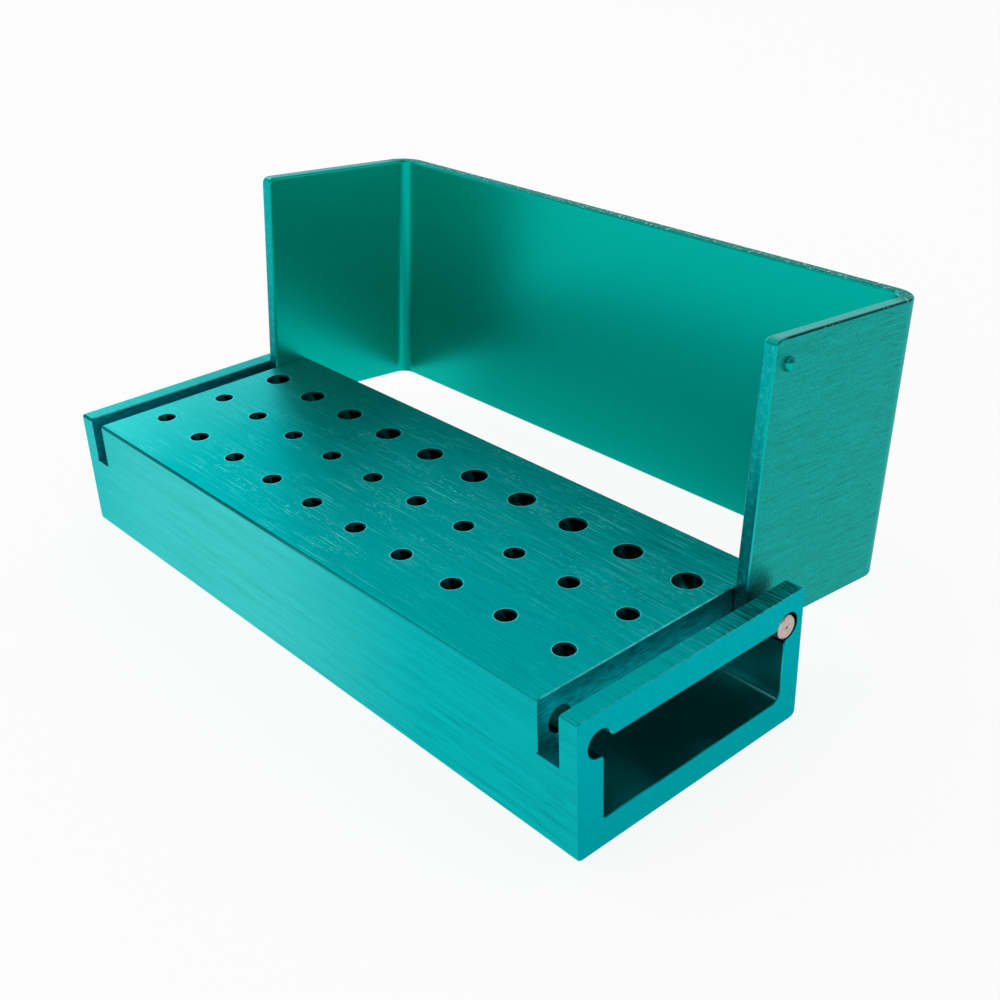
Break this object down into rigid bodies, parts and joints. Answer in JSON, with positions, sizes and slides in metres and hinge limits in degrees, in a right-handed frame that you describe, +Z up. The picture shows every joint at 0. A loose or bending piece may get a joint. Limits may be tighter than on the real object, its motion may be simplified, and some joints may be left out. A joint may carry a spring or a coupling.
{
  "type": "dental bur holder",
  "caption": "Low anodised aluminium block with rows of drilled holes for dental burs, an open tunnel below and a hinged bent-sheet cover standing open behind.",
  "frame": {"origin": "centre of the base block's underside, which stands on the bench", "axes": "+X along the block from left to right, +Y from the user's side to the hinge side, +Z up"},
  "size_m": [0.084, 0.0492, 0.0381],
  "materials": {
    "anodised_extrusion": "brushed and dyed teal anodise",
    "anodised_sheet": "satin teal anodise",
    "pin_metal": "turned, dull"
  },
  "bodies": {
    "base": {"base_block": "anodised_extrusion", "hinge_pin_right": "pin_metal", "hinge_pin_left": "pin_metal"},
    "cover": {"lid": "anodised_sheet"}
  },
  "joints": [
    {"name": "lid_hinge", "type": "hinge", "parent": "base", "child": "cover", "pos_m": [0, 0.0123, 0.0111], "axis": [1, 0, 0], "range_deg": [0, 93.7]}
  ]
}
